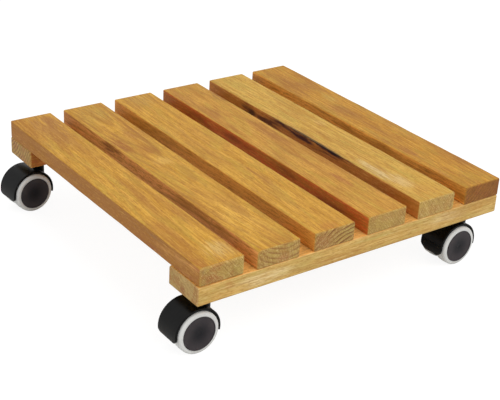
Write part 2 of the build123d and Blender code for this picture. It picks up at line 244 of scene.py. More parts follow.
# %% The board surface
CORNER_STEPS, SIDE_STEPS, END_STEPS, LENGTH_STEPS = 7, 8, 6, 159
ARRIS_LEAST, ARRIS_MOST, WAVE_LENGTH = 0.6 * MM, 1.3 * MM, 0.11
NEAR_END, FAR_END = 1.3 * MM, 2.2 * MM     # radii of the end arrises
SOFT_END = {"slat_1": 2.4 * MM}            # a near end that was rubbed rounder than the rest
WORN_REACH = 9.0 * MM
# the worn corner, counted from the top right round by the top left, and how much it grows
WORN = {"slat_1": (1, 2.4 * MM), "slat_2": (1, 3.6 * MM), "slat_4": (1, 1.6 * MM), "slat_5": (0, 1.4 * MM)}


def slow_wave(distance, seed, length):
    """A smooth wave from 0 to 1: the sum of three sines of unrelated periods."""
    shift = np.random.default_rng(seed).uniform(0, 2 * np.pi, 3)
    turns = 2 * np.pi * distance / length
    waves = np.sin(turns + shift[0]) + 0.6 * np.sin(2.3 * turns + shift[1])
    return 0.5 + (waves + 0.4 * np.sin(4.1 * turns + shift[2])) / 4


def board_section(width, thickness, radius):
    """Closed rounded rectangle for each radius in an array shaped (rows, 4): corner
    centres stand in by the radius, and a quarter circle is walked round each."""
    sweep = np.linspace(0, np.pi / 2, CORNER_STEPS)
    signs = np.array([(1, 1), (-1, 1), (-1, -1), (1, -1)])
    corners = []
    for k, (side, lift) in enumerate(signs):
        r = radius[:, k, None]
        angle = sweep + k * np.pi / 2
        x = side * (width / 2 - r) + r * np.cos(angle)
        z = lift * (thickness / 2 - r) + r * np.sin(angle)
        corners.append(np.stack([x, z], -1))
    share = np.linspace(0, 1, SIDE_STEPS + 1)[1:-1]
    share = 0.5 - 0.5 * np.cos(np.pi * share)
    runs = []
    for k in range(4):
        start, end = corners[k][:, -1:], corners[(k + 1) % 4][:, :1]
        runs += [corners[k], start + (end - start) * share[None, :, None]]
    return np.concatenate(runs, 1)


def board_mesh(name, node, seed):
    """A slat: sections along Y, drawn in at both ends along a quarter circle, then turned
    about Z by the board's own small angle and moved to its place."""
    middle, angle, (width, length, thickness) = board_place(node)
    bend = np.linspace(0, np.pi / 2, END_STEPS)
    near_end = SOFT_END.get(node, NEAR_END)
    near, far = near_end * (1 - np.cos(bend)), FAR_END * (1 - np.cos(bend))
    straight = np.linspace(near_end, length - FAR_END, LENGTH_STEPS + 2)[1:-1]
    run = np.concatenate([near, straight, length - far[::-1]])
    inset = np.concatenate([
        near_end * (1 - np.sin(bend)), np.zeros(LENGTH_STEPS), FAR_END * (1 - np.sin(bend[::-1])),
    ])
    waves = np.stack([slow_wave(run, seed * 10 + k, WAVE_LENGTH) for k in range(4)], -1)
    radius = ARRIS_LEAST + (ARRIS_MOST - ARRIS_LEAST) * waves
    corner, wear = WORN.get(node, (0, 0.0))
    radius[:, corner] += wear * np.exp(-((run / WORN_REACH) ** 2))
    section = board_section(width, thickness, radius)
    reach = np.array([width, thickness]) / 2
    section = section * (1 - inset[:, None, None] / reach)
    x, z = section[..., 0], section[..., 1]
    y = np.broadcast_to((run - length / 2)[:, None], x.shape)
    turned_x = x * math.cos(angle) - y * math.sin(angle)
    turned_y = x * math.sin(angle) + y * math.cos(angle)
    points = np.stack([turned_x, turned_y, z], -1) + middle
    return grid_mesh(name, points, cap_ends=True)


boards = {}
for i, n in enumerate(slat_names):
    boards[n] = stand_in(n + "_board", board_mesh(n + "_board", n, i + 1), n, "deck")
print("faces in one board:", len(boards["slat_1"].data.polygons))

# %% [markdown]
# ## Wheels
# Each wheel is a moulded hub with a soft tyre shrunk over it and a cap pressed into its
# face. Tyre and cap are both bodies of revolution, so each is one profile of radius
# against height, swept round the axle. The record's spin joint gives the axle's middle
# and direction, and the CAD pieces give the radii. The profile adds what a mould leaves.

# %% Radius and height about an axle
spin = {j["child"]: j for j in record["behaviour"]["joints"] if j["name"].endswith("_spin")}


def axle_of(node):
    """Middle and outward direction of the axle line that a wheel's node turns on."""
    joint = spin[body_of_node[node]]
    middle, axis = np.array(joint["pos_m"]), np.array(joint["axis"])
    outwards = np.sign(((points_of(nodes[node].data).mean(0) - middle) * axis).sum())
    return middle, axis * outwards


def reach_of(node):
    """Least and greatest radius, then least and greatest height, about the axle."""
    middle, axis = axle_of(node)
    away = points_of(nodes[node].data) - middle
    height = away @ axis
    radius = np.linalg.norm(away - height[:, None] * axis, axis=1)
    return radius.min(), radius.max(), height.min(), height.max()


def swept_round(name, node, profile, steps=128, wrap_rows=True):
    """Profile of (radius, height) rows swept round the axle: each point is the middle plus
    height times the axis plus radius times a direction that turns about the axis."""
    middle, axis = axle_of(node)
    up = np.array([0.0, 0.0, 1.0])
    side = np.cross(axis, up)
    angle = np.arange(steps) * 2 * np.pi / steps
    spoke = np.cos(angle)[:, None] * side + np.sin(angle)[:, None] * up
    radius, height = profile[:, 0, None, None], profile[:, 1, None, None]
    points = middle + height * axis + radius * spoke
    return grid_mesh(name, points, wrap_rows=wrap_rows, cap_ends=not wrap_rows)


def arc(centre, radius, start, end, steps):
    """Points on an arc in the profile's plane, angles in degrees from the radius axis."""
    angle = np.radians(np.linspace(start, end, steps))
    return np.stack([centre[0] + radius * np.cos(angle), centre[1] + radius * np.sin(angle)], -1)


def parts_of(wheel):
    """Names of the tyre, hub and cap nodes of a wheel such as front_left_a."""
    return [f"{wheel[:-2]}_{part}_{wheel[-1]}" for part in ("tyre", "hub", "cap")]


wheels = [n[: n.rindex("_tyre_")] + n[-2:] for n in sorted(nodes) if "_tyre_" in n]
print("wheels:", wheels)
print("tyre reach mm:", [round(v / MM, 2) for v in reach_of("front_left_tyre_a")])
print("cap reach mm:", [round(v / MM, 2) for v in reach_of("front_left_cap_a")])

# %% [markdown]
# ### Tyre
# The tread is a soft plastic, moulded in two halves that leave a fine line round its
# middle. Loop cuts and bevels could make it, but in a profile of numbers the crown, the
# line and the shoulder can each be set alone.

# %% Tyre profile
SHOULDER, INNER_CHAMFER, CROWN = 2.0 * MM, 0.8 * MM, 0.12 * MM
SEAM, SEAM_WIDTH = 0.1 * MM, 0.28 * MM
LIP_FLAT, LIP_CHAMFER = 1.0 * MM, 0.25 * MM
CAP_DEPTH, BORE_GAP = 1.62 * MM, 0.03 * MM     # room behind the cap's face, and round the hub


def tyre_profile(tyre, hub, cap):
    """Closed outline of the soft tyre: tread with its parting line, whose drop grows with
    the square of the distance from its middle, round shoulder, flat side, lip round the
    cap, bore on the hub, chamfered inner edge."""
    lip, outer, inner_y, side_y = reach_of(tyre)
    bore = reach_of(hub)[1] + BORE_GAP
    seat = reach_of(cap)[3] - CAP_DEPTH
    tread = np.linspace(inner_y + INNER_CHAMFER, side_y - SHOULDER, num=25)
    middle, half = tread.mean(), (tread[-1] - tread[0]) / 2
    drop = SEAM + CROWN * ((tread - middle) / half) ** 2
    drop -= SEAM * np.exp(-(((tread - middle) / SEAM_WIDTH) ** 2))
    crown = np.stack([outer - drop, tread], -1)
    edge = crown[-1, 0]
    shoulder = arc((edge - SHOULDER, side_y - SHOULDER), SHOULDER, 0, 90, steps=13)[1:]
    side = [(lip + LIP_FLAT, side_y), (lip + LIP_CHAMFER, side_y), (lip, side_y - LIP_CHAMFER), (lip, seat)]
    back = [(bore, seat), (bore, inner_y), (crown[0, 0] - INNER_CHAMFER, inner_y)]
    return np.concatenate([crown, shoulder, side, back])


tyres = {}
for w in wheels:
    tyre, hub, cap = parts_of(w)
    mesh = swept_round(tyre + "_moulded", tyre, tyre_profile(tyre, hub, cap))
    tyres[w] = stand_in(tyre + "_moulded", mesh, tyre, body_of_node[tyre])
print("tyre faces:", len(tyres[wheels[0]].data.polygons))

# %% [markdown]
# ### Hub cap
# The cap is a thin disc with a raised rim. A highlight shows the slow fall of its face,
# which a flat disc would lack. Each point keeps its share of the radius, which the finish
# uses to paint the middle darker: a painted shade for the dim reflection of the dish.

# %% Cap profile
RIM_WIDTH, RIM_DEPTH, DISH = 0.7 * MM, 0.45 * MM, 0.35 * MM
COVE, RIM_INSIDE, RIM_OUTSIDE = 0.35 * MM, 0.15 * MM, 0.25 * MM     # radii at the rim
GATE_RADIUS, GATE_DEPTH, GATE_EDGE = 1.5 * MM, 0.12 * MM, 0.06 * MM
CAP_WALL, SPIGOT_DEPTH, SPIGOT_STEP = 1.2 * MM, 2.4 * MM, 1.66 * MM
POLE = 0.02 * MM                           # the profile stops this short of the axle


def cap_profile(cap, hub):
    """Outline from the middle of the face, out over the rim, and back along the inside.
    The face falls by a cosine, and the gate mark is a small smooth step."""
    _, outer, _, face_y = reach_of(cap)
    seat, inner = face_y - RIM_DEPTH - CAP_WALL, outer - RIM_WIDTH
    radius = np.linspace(POLE, inner - COVE, num=40)
    face = face_y - RIM_DEPTH - DISH * (0.5 + 0.5 * np.cos(np.pi * radius / inner))
    face -= GATE_DEPTH / (1 + np.exp((radius - GATE_RADIUS) / GATE_EDGE))
    floor = np.stack([radius, face], -1)
    cove = arc((inner - COVE, face[-1] + COVE), COVE, -90, 0, steps=6)[1:]
    rim_in = arc((inner + RIM_INSIDE, face_y - RIM_INSIDE), RIM_INSIDE, 180, 90, steps=5)
    rim_out = arc((outer - RIM_OUTSIDE, face_y - RIM_OUTSIDE), RIM_OUTSIDE, 90, 0, steps=6)
    spigot, foot = reach_of(hub)[1] - SPIGOT_STEP, seat - SPIGOT_DEPTH
    back = [
        (outer, seat), (spigot, seat), (spigot, foot),
        (spigot - CAP_WALL, foot), (spigot - CAP_WALL, seat), (POLE, seat),
    ]
    return np.concatenate([floor, cove, rim_in, rim_out, back])


def mark_radius(mesh, cap):
    """Store on each point how far it lies from the axle, as a share of the cap's radius."""
    middle, axis = axle_of(cap)
    away = points_of(mesh) - middle
    radius = np.linalg.norm(away - (away @ axis)[:, None] * axis, axis=1)
    layer = mesh.attributes.new("radius_share", "FLOAT", "POINT")
    layer.data.foreach_set("value", (radius / radius.max()).astype(np.float32))


caps = {}
for w in wheels:
    _, hub, cap = parts_of(w)
    mesh = swept_round(cap + "_moulded", cap, cap_profile(cap, hub), wrap_rows=False)
    mark_radius(mesh, cap)
    caps[w] = stand_in(cap + "_moulded", mesh, cap, body_of_node[cap])
print("cap faces:", len(caps[wheels[0]].data.polygons))

# %% [markdown]
# ## Oiled hardwood
# The boards are a cheap golden plantation hardwood, planed and wiped with oil. Every face
# of a board is a cut through the same growth rings, so the colour is worked out in space
# and not painted on faces. A ring is a shell of equal distance from the pith, the line the
# tree grew round. Cut across, the shells show as arcs; cut along, as long streaks that
# open into arches where the pith slopes through the face. So one distance, measured from
# each board's own pith line, draws both, and noise stretched along the grain adds fibre,
# pores and slow changes of tint.

# %% Space along the grain
IN_MM = (1 / MM, 1 / MM, 1 / MM)


def grain_space(tree, middle, along, slant):
    """Object position in millimetres from the board's middle, turned so that Y runs along
    the board; the same turned on by the slant of its grain in degrees; the share of a
    face that is cut across the grain; and the normal."""
    place = add(tree, "ShaderNodeTexCoord")
    quarter = math.pi / 2 if along == "X" else 0.0
    middle = Vector(middle) / MM
    middle.rotate(Matrix.Rotation(quarter, 3, "Z"))
    space = add(
        tree, "ShaderNodeMapping", Vector=place.outputs["Object"], Location=-middle,
        Rotation=(0, 0, quarter), Scale=IN_MM,
    )
    turn = (0, 0, math.radians(slant))
    slanted = add(tree, "ShaderNodeMapping", Vector=space, Rotation=turn)
    axis = (1, 0, 0) if along == "X" else (0, 1, 0)
    facing = add(tree, "ShaderNodeVectorMath", DOT, in0=place.outputs["Normal"], in1=axis)
    size = add(tree, "ShaderNodeMath", {"operation": "ABSOLUTE"}, in0=facing.outputs["Value"])
    cut = add(tree, "ShaderNodeMapRange", SMOOTH, Value=size, From_Min=0.2, From_Max=0.6)
    return space, slanted, cut, place.outputs["Normal"]


def stretched_noise(tree, space, grain, detail=2.0, roughness=0.5, seed=0.0):
    """Noise whose blobs are as long across the board, along it and through it as the
    three sizes of grain in millimetres say."""
    across, along, through = grain
    scaled = add(
        tree, "ShaderNodeVectorMath", TIMES_PLUS,
        in0=space, in1=(1 / across, 1 / along, 1 / through), in2=(seed, 2.3 * seed, 4.1 * seed),
    )
    return add(tree, "ShaderNodeTexNoise", Vector=scaled, Scale=1.0, Detail=detail, Roughness=roughness)


def spot(tree, space, middle, radii):
    """A soft patch: 1 in its middle, falling smoothly to 0 where the distance from the
    middle, with each axis divided by its radius, reaches 1."""
    centred = add(tree, "ShaderNodeVectorMath", {"operation": "SUBTRACT"}, in0=space, in1=middle)
    even = add(tree, "ShaderNodeVectorMath", TIMES, in0=centred, in1=tuple(1 / r for r in radii))
    distance = add(tree, "ShaderNodeVectorMath", LENGTH, in0=even).outputs["Value"]
    return add(tree, "ShaderNodeMapRange", SMOOTH, Value=distance, From_Min=1.0, From_Max=0.0)


print("grain helpers ready")

# %% [markdown]
# ### The noises of one board
# Fibres, pores and stains differ mostly in size and in how far they run along the grain,
# so all are one noise, stretched in different ways. A very slow one pushes the rings
# about, because no trunk grows truly round.

# %% The noises of one board
FIBRE = (1.7, 60.0, 1.7)      # bundles of fibre; real ones are finer than this can show
FLECK = (0.95, 18.0, 0.95)    # short broken streaks, where fibres dive out of the face
PORES = (0.8, 11.0, 0.8)      # open pores, drawn three times their real width
GRIT = (0.9, 3.2, 0.9)        # single pores, also drawn too wide
WANDER = (40, 150, 40)        # slow bends of the trunk
DRIFT = 7.0                   # how far the rings wander off round, in mm


def board_noises(tree, space, slanted, seed):
    """The shared noises: each gives 0 to 1, most often near a half."""
    slow = stretched_noise(tree, space, WANDER, 1.0, seed=seed)
    drift = add(
        tree, "ShaderNodeVectorMath", TIMES_PLUS,
        in0=slow.outputs["Color"], in1=(DRIFT, 0, DRIFT), in2=(-DRIFT / 2, 0, -DRIFT / 2),
    )
    wandering = add(tree, "ShaderNodeVectorMath", in0=slanted, in1=drift)
    kinds = {
        "fibre": (wandering, FIBRE, 4.0, 0.62, 3), "fleck": (wandering, FLECK, 3.0, 0.6, 5),
        "pores": (slanted, PORES, 1.0, 0.5, 7), "broad": (wandering, (13, 90, 13), 2.0, 0.55, 11),
        "tone": (wandering, (7, 42, 7), 2.5, 0.6, 13), "ragged": (space, (9, 60, 9), 1.0, 0.5, 17),
        "torn": (wandering, (2.6, 24, 2.6), 3.0, 0.6, 19), "blotch": (space, (8, 60, 8), 2.0, 0.6, 23),
        "grit": (slanted, GRIT, 1.0, 0.6, 29),
    }
    noises = {
        kind: stretched_noise(tree, where, grain, detail, rough, seed + more)
        for kind, (where, grain, detail, rough, more) in kinds.items()
    }
    return wandering, noises


print("fibre bundle", FIBRE[0], "mm wide")

# %% [markdown]
# ### Growth rings
# A ring starts pale in spring and ends in a dark, hard line. A flat picture of rings would
# show seams at the arrises. Here the distance from the pith is cut into rings, and a
# colour ramp gives each its slow rise and quick fall.

# %% Growth rings
LATE_WOOD = ((0.12, 0.0), (0.5, 0.2), (0.8, 1.0), (0.93, 0.8))     # place in the ring, darkness
RING_EDGE = (0.12, 0.12, 0.12, 1)


def growth_rings(tree, space, wandering, noises, wood):
    """Share of late wood, 0 to 1: it climbs slowly through each ring and drops at its
    edge. A knot pushes the rings outwards round itself. The shares of knots come too."""
    x, z = wood["pith"]
    lean_x, lean_z = wood["lean"]
    lean = (lean_x, 0, lean_z)
    log = add(tree, "ShaderNodeMapping", Vector=wandering, Location=(-x, 0, -z), Rotation=lean)
    flat = add(tree, "ShaderNodeVectorMath", TIMES, in0=log, in1=(1, 0, 1))
    distance = add(tree, "ShaderNodeVectorMath", LENGTH, in0=flat).outputs["Value"]
    knots = []
    for place, radii, pull in wood.get("knots", []):
        knots.append(spot(tree, space, place, radii))
        distance = add(tree, "ShaderNodeMath", TIMES_PLUS, in0=knots[-1], in1=pull, in2=distance)
    uneven = add(tree, "ShaderNodeMath", TIMES, in0=noises["ragged"], in1=0.7)
    rings = add(tree, "ShaderNodeMath", TIMES_PLUS, in0=distance, in1=1 / wood["ring"], in2=uneven)
    through = add(tree, "ShaderNodeMath", {"operation": "FRACT"}, in0=rings)
    late = add(tree, "ShaderNodeValToRGB", Fac=through)
    stops = late.color_ramp.elements
    stops[0].position, stops[0].color = 0.0, RING_EDGE
    stops[1].position, stops[1].color = 1.0, RING_EDGE
    for position, value in LATE_WOOD:
        stops.new(position).color = (value, value, value, 1)
    fade = add(
        tree, "ShaderNodeMapRange", Value=noises["broad"],
        From_Min=0.38, From_Max=0.6, To_Min=0.35, To_Max=1.0,
    )
    faded = add(tree, "ShaderNodeMath", TIMES, in0=late.outputs["Color"], in1=fade)
    return faded, knots


print("late wood is darkest", LATE_WOOD[2][0], "of the way through a ring")

# %% [markdown]
# ### Tint over tint
# The wood is painted the way a grainer works: a ground coat, then thin layers, each let
# through where a noise is high, or inside a soft patch with a torn rim.

# %% Layers of tint
def layered(tree, colour, noises, layers):
    """Lay tints one over another. Each layer names a noise, the two levels between which
    its share rises from nothing, its tint, and its greatest share."""
    for kind, low, high, tint, most in layers:
        share = add(
            tree, "ShaderNodeMapRange", SMOOTH,
            Value=noises[kind], From_Min=low, From_Max=high, To_Max=most,
        )
        colour = add(tree, "ShaderNodeMix", RGBA, in0=share, in6=colour, in7=linear(tint)).outputs[2]
    return colour


def patched(tree, colour, space, noises, patches):
    """Patches of another tint. Each soft spot is multiplied by torn streaks before a
    smooth step, so that its rim breaks up along the grain."""
    torn = add(
        tree, "ShaderNodeMapRange", Value=noises["torn"],
        From_Min=0.32, From_Max=0.66, To_Min=0.2, To_Max=1.8,
    )
    for place, radii, tint, strength in patches:
        near = spot(tree, space, place, radii)
        rough = add(tree, "ShaderNodeMath", TIMES, in0=near, in1=torn)
        share = add(
            tree, "ShaderNodeMapRange", SMOOTH,
            Value=rough, From_Min=0.03, From_Max=1.15, To_Max=strength,
        )
        colour = add(tree, "ShaderNodeMix", RGBA, in0=share, in6=colour, in7=linear(tint)).outputs[2]
    return colour


def ringed(tree, colour, late, tint, most):
    """Darken a colour to the late wood's tint by the share of late wood."""
    share = add(tree, "ShaderNodeMath", TIMES, in0=late, in1=most)
    return add(tree, "ShaderNodeMix", RGBA, in0=share, in6=colour, in7=linear(tint)).outputs[2]


print("layer helpers ready")

# %% [markdown]
# ### Long grain
# Planed faces show long streaks. A face also gets a tint chosen by the way it faces. This
# is painted light and shade: the slats' sides and the bearers' tops and inner faces are
# tinted for the shade and the reddish bounce light they get, and on slat 4 the tint is
# partly the wood's own redder colour.

# %% Long grain
def long_grain(tree, space, normal, noises, late, wood):
    """Colour of the faces cut along the grain. The ground is fibre and slow tint, then
    come the tints by facing, which are painted shade and bounce light, and patches. Streaks,
    pores and late wood run over them, and dark stains soak through them all."""
    colour = layered(tree, linear(wood["mid"]), noises, [
        ("fibre", 0.36, 0.64, wood["light"], 1.0), ("tone", 0.46, 0.62, wood["khaki"], wood["khaki_share"]),
    ])
    # painted light and shade: a face is tinted by the way it faces
    for direction, tint, strength in wood.get("sides", []):
        facing = add(tree, "ShaderNodeVectorMath", DOT, in0=normal, in1=direction)
        share = add(
            tree, "ShaderNodeMapRange",
            Value=facing.outputs["Value"], From_Min=0.6, From_Max=0.92, To_Max=strength,
        )
        colour = add(tree, "ShaderNodeMix", RGBA, in0=share, in6=colour, in7=linear(tint)).outputs[2]
    colour = patched(tree, colour, space, noises, wood.get("patches", []))
    colour = layered(tree, colour, noises, [
        ("broad", 0.47, 0.70, wood["dark"], wood["broad"]),
        ("fleck", 0.50, 0.64, wood["dark"], wood["streak"]),
        ("fleck", 0.44, 0.30, wood["pale"], 0.6 * wood["streak"]), ("pores", 0.58, 0.74, wood["late"], 0.4),
        ("grit", 0.54, 0.74, wood["late"], 0.5), ("grit", 0.46, 0.28, wood["pale"], 0.2),
    ])
    colour = ringed(tree, colour, late, wood["late"], wood["late_along"])
    return patched(tree, colour, space, noises, wood.get("stains", []))


print("long grain ready")

# %% [markdown]
# ### End grain
# A cross-cut opens the wood's tubes, which drink oil and turn duller and greener. The
# saw's fine marks are a long thin noise, turned to the angle at which a board was sawn.

# %% End grain
SAW_MARK = 0.8     # mm between the marks a cross-cut saw leaves


def end_grain(tree, space, noises, late, wood):
    """Colour of the faces cut across: duller and greener than the long grain, blotched
    where oil soaked in, ringed, and scored by the saw at the board's own angle."""
    saw = add(tree, "ShaderNodeMapping", Vector=space, Rotation=(0, math.radians(wood["saw"]), 0))
    marks = {**noises, "saw": stretched_noise(tree, saw, (SAW_MARK, 1000, 12), 2.0, 0.6, wood["seed"])}
    colour = layered(tree, linear(wood["end"]), marks, [
        ("broad", 0.38, 0.62, wood["end_light"], 1.0),
        ("blotch", 0.44, 0.64, wood["end_red"], wood["blotch"]),
    ])
    colour = patched(tree, colour, space, noises, wood.get("end_patches", []))
    colour = layered(tree, colour, marks, [
        ("saw", 0.48, 0.72, wood["end_late"], 0.5), ("saw", 0.46, 0.30, wood["end_pale"], 0.35),
        ("pores", 0.58, 0.74, wood["end_late"], 0.35),
        ("grit", 0.54, 0.74, wood["end_late"], 0.5), ("grit", 0.46, 0.28, wood["end_pale"], 0.55),
    ])
    return ringed(tree, colour, late, wood["end_late"], wood["late_across"])


print("saw marks", SAW_MARK, "mm apart")

# %% [markdown]
# ### Painted highlight on the arrises
# The rounded arrises are painted paler, a painted highlight along each edge. Edges could be
# painted, but the normal already tells where one face turns into the next.

# %% Painted highlight on the arrises
# share of the painted highlight on the arrises
ARRIS_HIGHLIGHT = 0.18


def arris(tree, normal):
    """Share of the paler tint, a painted highlight: nothing on the flat faces and most on the
    rounded edges: the largest part of the normal is 1 on a face square to an axis and less in between."""
    size = add(tree, "ShaderNodeVectorMath", {"operation": "ABSOLUTE"}, in0=normal)
    parts = add(tree, "ShaderNodeSeparateXYZ", Vector=size)
    largest = parts.outputs["X"]
    for axis in "YZ":
        largest = add(tree, "ShaderNodeMath", GREATER, in0=largest, in1=parts.outputs[axis])
    return add(
        tree, "ShaderNodeMapRange", SMOOTH,
        Value=largest, From_Min=0.97, From_Max=0.78, To_Max=ARRIS_HIGHLIGHT,
    )


print("arrises paler by a share of", ARRIS_HIGHLIGHT)

# %% [markdown]
# ### The whole board
# The parts above make one colour. The same fibre and pore noises give the relief and the
# sheen, so that light and colour agree.

# %% The wood itself
RELIEF = 0.12 * MM


def oiled_hardwood(name, middle, along, wood):
    """Planed and oiled plantation hardwood. The eye sees satin gold streaked along the
    grain, darker late wood in every ring, and flat, greener, thirstier end grain."""
    material, tree = new_material(name)
    space, slanted, cut, normal = grain_space(tree, middle, along, wood["slant"])
    wandering, noises = board_noises(tree, space, slanted, wood["seed"])
    late, knots = growth_rings(tree, space, wandering, noises, wood)
    colour = long_grain(tree, space, normal, noises, late, wood)
    for near in knots:
        core = add(tree, "ShaderNodeMapRange", SMOOTH, Value=near, From_Min=0.1, From_Max=0.9, To_Max=0.85)
        colour = add(tree, "ShaderNodeMix", RGBA, in0=core, in6=colour, in7=linear(wood["knot"])).outputs[2]
    across = end_grain(tree, space, noises, late, wood)
    colour = add(tree, "ShaderNodeMix", RGBA, in0=cut, in6=colour, in7=across).outputs[2]
    # painted highlight: the rounded edges are mixed towards the pale tint
    highlight_share, pale = arris(tree, normal), linear(wood["pale"])
    colour = add(tree, "ShaderNodeMix", RGBA, in0=highlight_share, in6=colour, in7=pale).outputs[2]

    height = add(tree, "ShaderNodeMath", {"operation": "SUBTRACT"}, in0=noises["fibre"], in1=noises["pores"])
    bump = add(tree, "ShaderNodeBump", Strength=0.35, Distance=RELIEF, Height=height)
    rough = add(
        tree, "ShaderNodeMapRange", Value=noises["fibre"],
        From_Min=0.3, From_Max=0.7, To_Min=0.66, To_Max=0.52,
    )
    shader = add(
        tree, "ShaderNodeBsdfPrincipled", Base_Color=colour, Roughness=rough, IOR=1.45,
        Normal=bump, Specular_IOR_Level=0.28,
    )
    add(tree, "ShaderNodeOutputMaterial", Surface=shader)
    return material


print("relief of the grain", RELIEF / MM, "mm")

# %% [markdown]
# ## Eight boards, eight cuts
# No two boards come from the same place in a log. Each has its own pith, in millimetres
# across and above its middle, its own ring width, and its own patches of brown heart or
# cream sap. Two patches on the rear bearer are painted light and shade instead, as are most
# of the tints by facing. Places along a board are counted from its middle, towards the back
# on a slat and towards the right on a bearer.

# %% What every board shares
COMMON = {
    "pale": "#DFAF4C", "light": "#D5A13A", "mid": "#C18D2A", "khaki": "#B79332", "dark": "#A86F22",
    "late": "#955E20", "knot": "#351C10", "khaki_share": 0.6, "slant": 1.5,
    "end": "#A28040", "end_light": "#AF9049", "end_red": "#A26A38", "end_late": "#7A5424",
    "end_pale": "#CDB278", "blotch": 0.35, "saw": 40.0, "streak": 0.72,
    "ring": 3.2, "lean": (0.012, 0.02), "broad": 0.5, "late_along": 0.35, "late_across": 0.35,
}
# The tints by facing that use these directions are painted shade and bounce light on the slats' sides and
# the bearers' tops and inner faces, partly the wood's own colour on slat 4.
LEFT, RIGHT, UP = (-1, 0, 0), (1, 0, 0), (0, 0, 1)

# %% The two outer slats
BOARDS = {
    "slat_1": {
        "seed": 1.0, "pith": (4, -12), "ring": 3.4, "late_across": 0.2, "broad": 0.7, "slant": 2.2,
        "sides": [(LEFT, "#A06730", 0.9), (RIGHT, "#A86A2C", 0.5)], "blotch": 0.6,
        "stains": [((-18.5, -147, 6), (5, 10, 6), "#A9683A", 0.7)],
        "patches": [
            ((8, -132, 8), (18, 22, 9), "#D6B670", 0.7), ((-17, -142, 8), (9, 16, 8), "#AC6A2C", 0.8),
            ((-9, -95, 8), (8, 40, 8), "#B47A30", 0.7), ((2, 112, 8), (26, 62, 10), "#A87434", 0.9),
            ((8, 130, 8), (12, 30, 8), "#9E6A34", 0.7), ((14, -60, 8), (5, 55, 5), "#B47C38", 0.5),
            ((-19, -112, 3), (5, 44, 8), "#CC9452", 0.9), ((-19, 30, 0), (4, 60, 9), "#9C6630", 0.5),
            ((-19, -142, 4), (5, 16, 6), "#D89C56", 0.9), ((-19, -90, 5), (5, 26, 4), "#8C7660", 0.8),
            ((-19, -84, -5), (5, 40, 4), "#9A5A30", 0.8), ((-19, -132, -6), (5, 26, 4), "#A8663A", 0.7),
        ],
        "end_patches": [
            ((-6, -150, -5), (13, 9, 9), "#9C6230", 0.7), ((15, -150, 0), (8, 9, 12), "#B09A50", 0.7),
            ((-17, -150, 5), (5, 9, 5), "#8C7048", 0.6),
        ],
    },
    "slat_6": {
        "seed": 6.0, "pith": (-25, 30), "ring": 3.0, "late_across": 0.45, "broad": 0.85, "slant": 2.0,
        "light": "#C8922C", "mid": "#B47C20", "dark": "#9C641C", "khaki": "#AC8828",
        "end": "#804E10", "end_light": "#8E5A18", "end_red": "#844616", "end_late": "#5C3416",
        "end_pale": "#A06C34", "saw": -35.0,
        "sides": [(LEFT, "#F2A64A", 0.9), (RIGHT, "#A66A2A", 0.5)], "blotch": 0.6,
        "patches": [
            ((-12, -66, 8), (9, 40, 8), "#A06628", 0.85), ((-4, 26, 8), (14, 38, 8), "#A06A2A", 0.8),
            ((4, 55, 8), (9, 20, 6), "#BE9A44", 0.7), ((2, 92, 8), (12, 26, 6), "#A26C2C", 0.7),
            ((14, -30, 8), (7, 80, 6), "#B48C3A", 0.6), ((-18, -120, 8), (6, 30, 8), "#CE8A38", 0.6),
        ],
    },
}
print("outer slats:", list(BOARDS))

